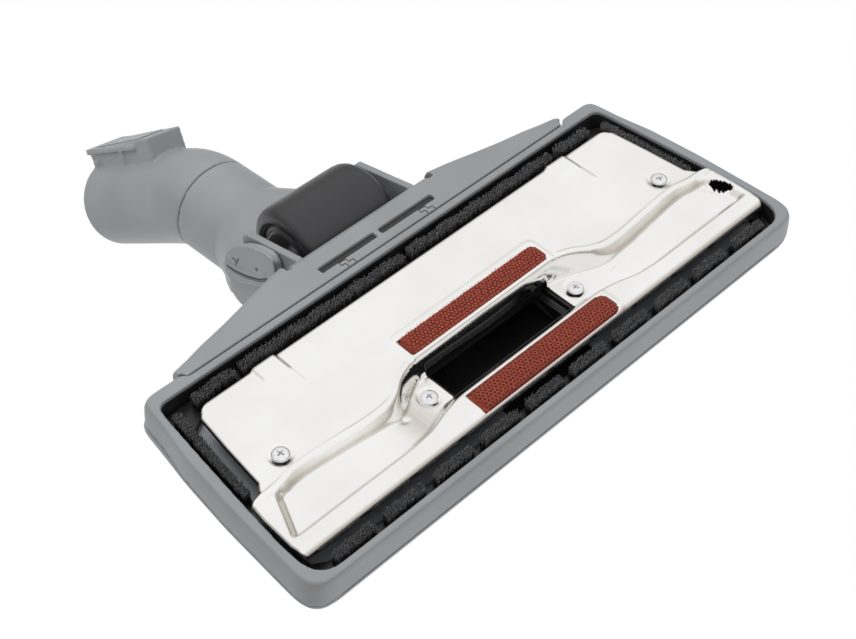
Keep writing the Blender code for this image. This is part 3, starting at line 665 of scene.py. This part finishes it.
def sole_is_open(u, y):
    """True at the mouth, at the windows of the strips and at the hole in the -X end wall."""
    if abs(u) < MOUTH_X and MOUTH_FRONT < y < MOUTH_REAR:
        return True
    if u < STRIP_X + 0.3 and any(strip_reach(u, y, y0, y1) < 0.85 for _, y0, y1 in STRIPS):
        return True
    from_wall = abs(real_x(u, y)) - end_wall(u, y)
    return u < 0 and ((from_wall + 1.2) / 1.8) ** 2 + ((y + 33.0) / 4.8) ** 2 < 1


def make_sole():
    """Pressed sheet: a fine grid with the openings left out, thickened to SHEET."""
    half = marks([0, MOUTH_X, STRIP_X + 0.3, FIXED_X, WIDE_X], 0.8)
    us = [-u for u in reversed(half[1:])] + half
    ys = marks([SHEET_FRONT, -51.9, -40.8, MOUTH_FRONT, MOUTH_REAR, -11.8, -0.5, 20, SHEET_REAR], 0.75)
    ys = sorted(set(ys) | {-53.4, -53.0, 28.0, -21.4, -20.9})
    verts = []
    for u in us:
        for y in ys:
            x = real_x(u, y)
            verts.append((x, y, SOLE_Z + sole_lift(x, y, read(EDGE_X, y))))
    nr = len(ys)
    faces = []
    for i in range(len(us) - 1):
        for j in range(nr - 1):
            if not sole_is_open((us[i] + us[i + 1]) / 2, (ys[j] + ys[j + 1]) / 2):
                a, b = i * nr + j, (i + 1) * nr + j
                faces.append([a, a + 1, b + 1, b])
    used = sorted({v for f in faces for v in f})
    index = {v: k for k, v in enumerate(used)}
    sole = add_mesh("sole_sheet", [verts[v] for v in used],
                    [[index[v] for v in f] for f in faces], SOLE)
    if sole.data.polygons[0].normal.z > 0:
        sole.data.flip_normals()
    mod = sole.modifiers.new("thickness", 'SOLIDIFY')
    mod.thickness = SHEET * MM
    mod.offset = -1
    bake(sole)
    return finish_piece(sole, SOLE)


sole = make_sole()
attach(sole, "base")
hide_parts("sole_plate")


# ------------------------------------------------------------------ screws
SCREW_PROUD = 1.5                                  # how far a head stands out of the sheet


def make_screw(label, x, y, z):
    """Domed screw with a tapering cross recess; the inner ones sit high and are shorter."""
    length = 11 if z > SOLE_Z else 17
    profile = [(0, 1.2), (0.02, 2.6), (0.15, 3.1), (0.5, 3.6), (0.9, 3.8), (1.2, 3.75),
               (1.25, 1.6), (length, 1.6)]
    head = z - SCREW_PROUD
    screw = turned("screw_" + label, (x, y, head), (0, 0, 1), profile, STEEL, 64)
    turn = random.Random(label).uniform(0, 90)
    wings = []
    for k in range(2):
        a = math.radians(turn + 90 * k)
        c, s = math.cos(a), math.sin(a)
        sections = []
        for high, reach, wide in ((-0.5, 1.75, 0.38), (0.0, 1.6, 0.34), (1.6, 0.6, 0.18)):
            corners = ((-reach, -wide), (reach, -wide), (reach, wide), (-reach, wide))
            sections.append([(x + c * p - s * q, y + s * p + c * q, head + high)
                             for p, q in corners])
        wings.append(loft("recess", sections))
    cut(screw, *wings)
    finish_piece(screw, STEEL)
    mod = screw.modifiers.new("edge", 'BEVEL')
    mod.width = 0.06 * MM
    mod.segments = 2
    mod.limit_method = 'ANGLE'
    mod.angle_limit = math.radians(40)
    screw.modifiers.new("even", 'WEIGHTED_NORMAL')
    bake(screw)
    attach(screw, "base")
    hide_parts("sole_screw_" + label)


for entry in SCREWS:
    make_screw(*entry)


# ------------------------------------------------------------------ lint strips
PITCH_X, PITCH_Y = 1.75, 1.5                       # spacing of the tufts


def tuft_lattice(rnd):
    """Centre and height of each tuft on a jittered, staggered lattice."""
    tufts = {}
    for i in range(-24, 25):
        for j in range(-5, 6):
            tufts[i, j] = ((i + 0.5 * (j % 2)) * PITCH_X + rnd.uniform(-0.3, 0.3),
                           j * PITCH_Y + rnd.uniform(-0.25, 0.25), rnd.uniform(0.75, 1.0))
    return tufts


def nearest_tuft(tufts, x, y):
    """Distance to the nearest tuft and that tuft's height."""
    best, tall = 9.0, 1.0
    column, row = round(x / PITCH_X), round(y / PITCH_Y)
    for dj in (-1, 0, 1):
        for di in (-1, 0, 1):
            spot = tufts.get((column + di, row + dj))
            if spot:
                away = math.hypot((x - spot[0]) / 1.05, y - spot[1])
                if away < best:
                    best, tall = away, spot[2]
    return best, tall


def pile_height(tufts, x, y, y0, y1):
    """Lower face of the pile at y from its middle line: a bumpy dome, cut off at +X."""
    real_y = (y0 + y1) / 2 + y
    best, tall = nearest_tuft(tufts, x, y)
    reach = min(1.0, strip_reach(x, real_y, y0, y1))
    if reach > 0.94:                                # hidden rim inside the sheet
        return SOLE_Z + sole_lift(x, real_y, 200) + 0.4
    cut_end = 1 - ease((STRIP_X - x) / 3.2)
    bump = 0.75 * tall * max(0.0, 1 - (best / 0.88) ** 2) * (1 - cut_end)
    dome = 1.9 * (1 - math.sqrt(1 - reach ** 2)) + 1.5 * cut_end
    return max(0.0, min(2.4, 0.75 + dome - bump * (1 - 0.8 * reach ** 4)))


def make_strip(label, y0, y1, seed):
    """Closed block of pile with the bumpy dome below and a flat back."""
    rnd = random.Random(seed)
    tufts = tuft_lattice(rnd)
    mid = (y0 + y1) / 2
    nx, ny = 320, 48
    low_x, high_x = -STRIP_END, STRIP_X + 0.25
    back_z = 3.2
    grid = []
    for i in range(nx + 1):
        x = low_x + (high_x - low_x) * i / nx
        for j in range(ny + 1):
            y = STRIP_HALF * (-1 + 2 * j / ny)
            grid.append((x, mid + y, pile_height(tufts, x, y, y0, y1)))
    nr = ny + 1
    faces = [[i * nr + j, i * nr + j + 1, (i + 1) * nr + j + 1, (i + 1) * nr + j]
             for i in range(nx) for j in range(ny)]
    base = len(grid)
    ring = [i * nr for i in range(nx + 1)] + [nx * nr + j for j in range(1, nr)]
    ring += [i * nr + ny for i in range(nx - 1, -1, -1)] + [j for j in range(ny - 1, 0, -1)]
    grid += [(grid[k][0], grid[k][1], back_z) for k in ring]
    count = len(ring)
    faces += [[ring[k], ring[(k + 1) % count], base + (k + 1) % count, base + k]
              for k in range(count)]
    faces.append([base + k for k in range(count)])
    strip = add_mesh(label + "_pile_strip", grid, faces, PILE)
    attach(strip, "base")
    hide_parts(label + "_lint_strip")
    return rnd


def make_fray(label, y0, y1, rnd):
    """Loose ends of pile along the cut edges of a strip."""
    verts, faces = [], []
    for _ in range(150):
        edge = rnd.choice((y0, y1))
        x = rnd.uniform(-STRIP_X + 7, STRIP_X - 3)
        out = rnd.uniform(-0.1, 0.45) * (1 if edge == y1 else -1)
        add_hair(verts, faces, (x, edge - out * 0.4, 2.0),
                 (x + rnd.uniform(-0.5, 0.5), edge + out * 0.4, rnd.uniform(0.5, 1.2)), 0.07)
    fray = add_mesh(label + "_pile_fray", verts, faces, PILE)
    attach(fray, "base")


def add_hair(verts, faces, root, tip, radius):
    """Three-sided tapering filament."""
    base = len(verts)
    for k, (point, r) in enumerate(((root, radius), (tip, radius * 0.75))):
        for i in range(3):
            a = 2 * math.pi * i / 3 + 0.5 * k
            verts.append((point[0] + r * math.cos(a), point[1] + r * math.sin(a), point[2]))
    for i in range(3):
        j = (i + 1) % 3
        faces.append([base + i, base + j, base + 3 + j, base + 3 + i])
    faces.append([base + 2, base + 1, base])
    faces.append([base + 3, base + 4, base + 5])


for number, (label, y0, y1) in enumerate(STRIPS):
    make_fray(label, y0, y1, make_strip(label, y0, y1, 11 + number))


# ------------------------------------------------------------------ bristles
BRISTLE_ROOT, BRISTLE_RADIUS = 11.9, 0.2


def make_row(name, node, spots, seed, tip=3.5):
    """Bristle row: spots is a list of (x, y, length factor)."""
    rnd = random.Random(seed)
    verts, faces = [], []
    for x, y, tall in spots:
        low = BRISTLE_ROOT - (BRISTLE_ROOT - tip) * tall * rnd.uniform(0.86, 1.0)
        add_hair(verts, faces, (x, y, BRISTLE_ROOT),
                 (x + rnd.gauss(0, 0.35), y + rnd.gauss(0, 0.3), low), BRISTLE_RADIUS)
    row = add_mesh(name, verts, faces, BRISTLE)
    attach(row, "brushes")
    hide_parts(node)


def scatter(seed, count, start, end, width, gaps=()):
    """Random roots in a band between two points, without those in the gaps."""
    rnd = random.Random(seed)
    out = []
    for _ in range(count):
        t = rnd.random()
        if any(a < t < b for a, b in gaps):
            continue
        off = rnd.uniform(-width / 2, width / 2)
        x = start[0] + (end[0] - start[0]) * t
        y = start[1] + (end[1] - start[1]) * t
        tangent = Vector((end[0] - start[0], end[1] - start[1])).normalized()
        out.append((x - tangent.y * off, y + tangent.x * off,
                    1 - 0.12 * math.sin(t * 40) ** 2))
    return out


REAR_GAPS = ((0.09, 0.105), (0.49, 0.505), (0.895, 0.91))
make_row("rear_bristles", "rear_bristle_row",
         scatter(1, 6000, (-115.4, 35.2), (115.4, 35.2), 4.2, REAR_GAPS), 2)
for side, s in (("left", -1), ("right", 1)):
    make_row(side + "_bristles", side + "_bristle_row",
             scatter(3, 850, (s * 125.2, 33.6), (s * 127.8, 8), 3.4)
             + scatter(4, 800, (s * 127.8, 8), (s * 129.7, -14.8), 2.8), 5, 4.5)
tufts = []
for i in range(10):
    x = -115.2 + i * 25.6
    tufts += scatter(20 + i, 700, (x - 9.6, -59), (x + 9.6, -59), 3.8)
make_row("front_bristles", "front_bristle_tufts", tufts, 6)

# dark band on the inside wall behind the bristles
dark_band_out, dark_band_in = (mirror_outline(grown(RIM_IN, -gap, -gap, -gap)) for gap in (0.05, 0.3))
dark_band = pipe("dark_wall_band", [[(x, y, z) for x, y in dark_band_out] for z in (5.4, 13.5)],
              [[(x, y, z) for x, y in dark_band_in] for z in (5.4, 13.5)], DARK)
finish_piece(dark_band, DARK, False)
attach(dark_band, "base")


# ------------------------------------------------------------------ roller
ROLLER_RINGS = [(0.35, 12.6), (0.2, 13.6), (1.6, 14.0), (1.7, 17.4), (0.5, 17.8), (0.12, 18.6),
                (0.0, 19.6), (0.25, 20.9), (1.0, 22.3), (2.2, 23.4), (3.8, 24.1), (6, 24.42),
                (9, 24.5)]
ROLLER_HALF, ROLLER_STEPS = 25.0, 160
profile = [(d - ROLLER_HALF, r) for d, r in ROLLER_RINGS]
profile += [(ROLLER_HALF - d, r) for d, r in reversed(ROLLER_RINGS)]
roller = turned("roller_tyre", TILT, (1, 0, 0), profile, ROLLER, ROLLER_STEPS)
cut(roller, rod("roller_bore", TILT + Vector((-30, 0, 0)), TILT + Vector((30, 0, 0)), 4.3, None, 64))
finish_piece(roller, ROLLER)
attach(roller, "roller_wheel")
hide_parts("roller", "roller_hub")
seam = turned("roller_seam", TILT - Vector((0.12, 0, 0)), (1, 0, 0),
              [(0, 24.35), (0.06, 24.53), (0.18, 24.53), (0.24, 24.35)], ROLLER, ROLLER_STEPS)
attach(seam, "roller_wheel")


# ------------------------------------------------------------------ tilting neck
def bell(y, z_low, z_high, half_low, half_high):
    """Squarish ring of the neck at one y, with its own half width below and above."""
    pts = []
    mid, tall = (z_low + z_high) / 2, (z_high - z_low) / 2
    for i in range(ROUND_STEPS):
        t = 2 * math.pi * i / ROUND_STEPS
        c, s = math.cos(t), math.sin(t)
        px = math.copysign(abs(c) ** 0.72, c)
        pz = math.copysign(abs(s) ** 0.72, s)
        width = half_low + (half_high - half_low) * max(0.0, (pz - 0.1) / 0.9)
        pts.append(Vector((px * width, y, mid + pz * tall)))
    return pts


def bell_between(first, second, steps):
    """Eased sections between two (y, z_low, z_high, half_low, half_high) rows."""
    out = []
    for k in range(steps):
        t = k / steps
        out.append(bell(*[a + (b - a) * (t if i == 0 else ease(t) * 0.5 + t * 0.5)
                          for i, (a, b) in enumerate(zip(first, second))]))
    return out


BELLS = [(108.5, 35, 74, 38.8, 30), (114, 35.5, 80, 38.4, 28.5), (121, 37, 85, 35, 26.5),
         (130, 40, 89, 29.5, 24.8)]
sections = []
for a, b in zip(BELLS, BELLS[1:]):
    sections += bell_between(a, b, 3)
sections.append(bell(*BELLS[-1]))
neck = loft("neck_shell", sections + [circle(RING - N * 30, 24.3, N), circle(RING, 24.3, N)])
HUB = arc(AXIS, 46.6, 60, 145, 40) + arc(AXIS, 26.6, 145, 20, 50) + [(116, 39), (118, 60)]
WIDE_ARM = [(75, 14), (80, 10.6), (88, 12.6), (96.5, 17), (104, 23), (110.5, 31.5), (113.5, 40),
            (113.5, 52), (111.7, 60.7), (105, 63.5), (98, 58), (91, 44), (80, 36), (75, 26)]
SLIM_ARM = [(75, 24), (79, 20.4), (86, 19.4), (94, 20.6), (103, 26), (110.5, 34), (113.5, 42),
            (115, 52), (108, 56), (100, 50), (92, 41), (80, 36), (75, 30)]
fuse(neck, side_prism("hub", HUB, -30.8, 30.8),
     side_prism("arm_a", softened(SLIM_ARM, 2, 0.2), -38.8, -35.1),
     side_prism("arm_b", softened(WIDE_ARM, 2, 0.2), 35.1, 38.8))
DUCT = arc(AXIS, 44.2, 50, 150, 40) + arc(AXIS, 29.6, 150, 35, 40)
ROUND = arc(AXIS, 26.5, 0, 360, 96)[:-1]
THROAT = [(102, 43, 69.0, 24, 22), (108.5, 44, 71.2, 23, 21), (114, 45, 77.0, 21.5, 20),
          (120, 46, 82.0, 20.5, 19.5), (128, 47.2, 85.6, 19.4, 19.4)]
cut(neck, side_prism("duct", DUCT, -28.4, 28.4),
    rod("bore", RING - N * 46, RING + N * 1, 19.6, None, ROUND_STEPS),
    loft("throat", [bell(*row) for row in THROAT]),
    rod("counterbore", RING - N * 13, RING + N * 2, 22.6, None, ROUND_STEPS),
    rod("arm_holes", (-42, *AXIS), (42, *AXIS), AXLE_BORE, None, 48),
    rod("roller_clear", (-31.0, *AXIS), (31.0, *AXIS), 26.5, None, ROUND_STEPS),
    side_prism("cheek_clear_a", ROUND, -35.1, -31.1), side_prism("cheek_clear_b", ROUND, 31.1, 35.1))
moulded(neck, NECK, 0.7, 7, 0.4)
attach(neck, "neck")
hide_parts("tilt_neck")

ROUND_CLIP = arc(AXIS, 8.2, 0, 360, 64)[:-1]
LEAF_CLIP = [(74.5, 12.5), (77.5, 9), (88, 11.4), (96.4, 15.7), (104, 21.8), (110.6, 30.4), (113.4, 40),
             (112.4, 44.6), (109, 46.4), (100, 43), (92.6, 38.2), (83.8, 33), (76.4, 26)]
SLOT = [(110.6, 38.8), (104.6, 38.4), (95.4, 35.2), (86.4, 30.6), (80.6, 25.8)]
# outlines of two short dark lines on the right clip that paint the shadow of a groove
Y_MARK = ([(100.6, 27.4), (101.2, 27.1), (104.2, 33.4), (103.6, 33.7)],
          [(102.2, 30.5), (102.5, 29.9), (105.6, 29.7), (105.5, 30.4)])


def make_clip(side, s, outline):
    """Clip over the end of the axle; the one at +X has a slot and a ridge."""
    def plate(name, shape, near, far):
        a, b = sorted((s * near, s * far))
        return side_prism(name, shape, a, b)
    clip = plate("clip_" + side, outline, 39.1, 40.6)
    if s > 0:
        cut(clip, plate("slot", band(SLOT, -0.8, 0.8), 40.0, 42))
        fuse(clip, plate("ridge", band(SLOT, 2.2, 3.6), 39.4, 41.0))
    moulded(clip, CLIP, 0.28, 3, 0.5)
    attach(clip, "neck")
    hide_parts("pivot_clip_" + side)


def shade_inlay(name, shape, near, far):
    """Painted shade: a dark line or dot in the face of the right clip, standing for the shadow in its
    slot, a small hole or a groove.
    """
    mark = side_prism(name, shape, near, far)
    finish_piece(mark, DARK, False)
    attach(mark, "neck")


# painted shade in the slot, a small hole and a groove of the right clip
shade_inlay("clip_slot_shade", band(SLOT, -0.55, 0.55), 40.2, 40.72)
shade_inlay("clip_hole_shade", arc((88, 24.6), 0.8, 0, 360, 24)[:-1], 40.2, 40.8)
for number, mark in enumerate(Y_MARK):
    shade_inlay("clip_groove_shade_%d" % number, mark, 40.2, 40.76)
make_clip("left", -1, ROUND_CLIP)
make_clip("right", 1, softened(LEAF_CLIP, 2))


# ------------------------------------------------------------------ swivel elbow
def bent(dist, radius):
    """Ring of the elbow at a distance along its bent centre line."""
    turn_len = 24.0
    s0 = TO_KNEE - turn_len / 2
    if dist <= s0:
        centre, axis = RING + N * dist, N
    elif dist >= s0 + turn_len:
        centre, axis = KNEE + D2 * (dist - TO_KNEE), D2
    else:
        f = (dist - s0) / turn_len
        a, b = KNEE - N * (turn_len / 2), KNEE + D2 * (turn_len / 2)
        centre = a * (1 - f) ** 2 + KNEE * 2 * f * (1 - f) + b * f ** 2
        axis = math.cos(BEND * f) * N + math.sin(BEND * f) * TURN
    up = WIDE.cross(axis).normalized()
    return [centre + radius * (math.cos(t) * WIDE + math.sin(t) * up)
            for t in (2 * math.pi * i / ROUND_STEPS for i in range(ROUND_STEPS))]


def socket_block(name, along, wide, high, drop=0.0):
    """Block in the directions of the socket, lower by drop at its far end."""
    verts = []
    for d, extra in ((along[0], 0.0), (along[1], -drop)):
        for w, h in ((wide[0], high[0]), (wide[1], high[0]), (wide[1], high[1] + extra),
                     (wide[0], high[1] + extra)):
            verts.append(KNEE + D2 * d + WIDE * w + BOSS * h)
    faces = [[0, 1, 2, 3], [7, 6, 5, 4], [0, 4, 5, 1], [1, 5, 6, 2], [2, 6, 7, 3], [3, 7, 4, 0]]
    return add_mesh(name, verts, faces)


SOCKET = 93.4
bends = [(1.6 + k * 24 / 12, 24.3 + 0.2 * math.sin(math.pi * k / 12), 18.6 - 0.05 * k)
         for k in range(13)]
skin = [(-11.6, 20.8, 18.6), (0.35, 20.8, 18.6), (0.36, 23.8, 18.6), (0.8, 24.3, 18.6)] + bends
skin += [(40, 24.05, 18.0), (SOCKET - 1.2, 24.0, 18.0), (SOCKET - 0.4, 23.8, 18.2),
         (SOCKET, 23.2, 19.0)]
elbow = pipe("elbow_shell", [bent(d, r) for d, r, _ in skin], [bent(d, r) for d, _, r in skin])
fuse(elbow, socket_block("boss", (17, 79.5), (-10.5, 10.5), (21, 34.6), 3.0),
     socket_block("lip", (30, 80.4), (-12, 12), (29.2, 32.2)),
     *[rod("rib", KNEE + D2 * d + WIDE * w + BOSS * 21.5, KNEE + D2 * d + WIDE * w + BOSS * top, 1.25,
           None, 24) for d, top in ((45, 28.6), (74, 25.6)) for w in (-10.9, 10.9)])
cut(elbow, socket_block("well", (28, 76), (-8, 8), (26.5, 50)),
    socket_block("tooth_hole", (61, 71), (-5, 5), (10, 50)))
moulded(elbow, NECK, 0.6, 6, 0.4)
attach(elbow, "elbow")
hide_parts("swivel_elbow")
lever = socket_block("lever_shell", (29, 75), (-7.6, 7.6), (29.4, 34.6), 2.2)
fuse(lever, socket_block("tooth", (63, 69), (-4.4, 4.4), (16.9, 30)))
cut(lever, *[rod("grip", KNEE + D2 * d - WIDE * 9 + BOSS * 33.9, KNEE + D2 * d + WIDE * 9 + BOSS * 33.9,
                 0.7, None, 24) for d in (58, 61, 64, 67, 70)])
moulded(lever, NECK, 0.35, 4, 0.4)
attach(lever, "latch")
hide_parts("latch_lever")

# ------------------------------------------------------------------ carried-over nodes
CARRIED = {"front_lint_carrier": DARK, "rear_lint_carrier": DARK, "suction_duct": DARK,
           "mouth_gasket": DARK, "roller_axle": STEEL, "pedal_pin": STEEL, "latch_pin": STEEL,
           "tube_seal": DARK, "swivel_bearing": DARK, "brush_frame": DARK, "lift_yoke": DARK,
           "foot_pedal": PEDAL}
for name, mat in CARRIED.items():
    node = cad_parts[name]
    for entry in node.material_slots:
        entry.material = mat
    mod = node.modifiers.new("edge", 'BEVEL')
    mod.width = 0.35 * MM
    mod.segments = 2
    mod.limit_method = 'ANGLE'
    mod.angle_limit = math.radians(40)
    node.modifiers.new("even", 'WEIGHTED_NORMAL')


# ------------------------------------------------------------------ stage and light
def add_floor():
    """Pale floor that is seen from above only, so that it doesn't hide the sole."""
    size = 3.0
    mesh = bpy.data.meshes.new("floor")
    mesh.from_pydata([(-size, -size, 0), (size, -size, 0), (size, size, 0), (-size, size, 0)],
                     [], [[0, 1, 2, 3]])
    floor = bpy.data.objects.new("floor", mesh)
    floor.location.z = -0.0002
    bpy.context.scene.collection.objects.link(floor)
    mat, tree, shader = nodes_of("floor_paint")
    tone = noise_node(tree, 3, 2)
    base = mix_colours(tree, tone.outputs[0], (0.86, 0.86, 0.86), (0.9, 0.9, 0.9))
    tree.links.new(base, shader.inputs["Base Color"])
    shader.inputs["Roughness"].default_value = 0.6
    geo = tree.nodes.new("ShaderNodeNewGeometry")
    clear = tree.nodes.new("ShaderNodeBsdfTransparent")
    mix = tree.nodes.new("ShaderNodeMixShader")
    tree.links.new(geo.outputs["Backfacing"], mix.inputs[0])
    tree.links.new(shader.outputs[0], mix.inputs[1])
    tree.links.new(clear.outputs[0], mix.inputs[2])
    tree.links.new(mix.outputs[0], tree.nodes["Material Output"].inputs["Surface"])
    mesh.materials.append(mat)
    for ray in ("diffuse", "glossy", "transmission", "shadow", "volume_scatter"):
        setattr(floor, "visible_" + ray, False)


def add_light(name, spot, aim, size, power):
    """Round soft light that the bright sole doesn't mirror."""
    data = bpy.data.lights.new(name, 'AREA')
    data.shape = 'DISK'
    data.size = size
    data.energy = power
    light = bpy.data.objects.new(name, data)
    light.location = spot
    light.rotation_euler = (Vector(spot) - Vector(aim)).to_track_quat('Z', 'Y').to_euler()
    light.visible_glossy = False
    bpy.context.scene.collection.objects.link(light)


def add_world():
    """Pale studio: white overhead and below, a tan band near the horizon."""
    world = bpy.data.worlds.new("studio")
    bpy.context.scene.world = world
    world.use_nodes = True
    tree = world.node_tree
    back = tree.nodes["Background"]
    coord = tree.nodes.new("ShaderNodeTexCoord")
    split = tree.nodes.new("ShaderNodeSeparateXYZ")
    tree.links.new(coord.outputs["Generated"], split.inputs[0])
    span = tree.nodes.new("ShaderNodeMapRange")
    span.inputs["From Min"].default_value = -1
    tree.links.new(split.outputs["Z"], span.inputs["Value"])
    ramp = tree.nodes.new("ShaderNodeValToRGB")
    stops = ramp.color_ramp.elements
    stops[0].position, stops[0].color = 0.0, (0.95, 0.95, 0.95, 1)
    stops[1].position, stops[1].color = 1.0, (1, 1, 1, 1)
    for spot, tone in ((0.18, (0.93, 0.93, 0.93)), (0.34, (0.6, 0.56, 0.5)), (0.44, (0.3, 0.28, 0.26)),
                       (0.56, (0.55, 0.55, 0.55)), (0.74, (1, 1, 1))):
        stops.new(spot).color = (*tone, 1)
    tree.links.new(span.outputs[0], ramp.inputs[0])
    tree.links.new(ramp.outputs[0], back.inputs["Color"])
    back.inputs["Strength"].default_value = 1.0


add_floor()
add_world()
bpy.context.scene.view_settings.view_transform = 'Standard'
middle = (0, -0.06, 0.02)
add_light("key_below", (0.2, 0.35, -0.9), middle, 0.5, 7.0)
add_light("fill_front", (-0.3, -0.9, -0.3), middle, 0.6, 2.2)
add_light("top_soft", (-0.4, -0.3, 1.0), middle, 1.2, 3.5)
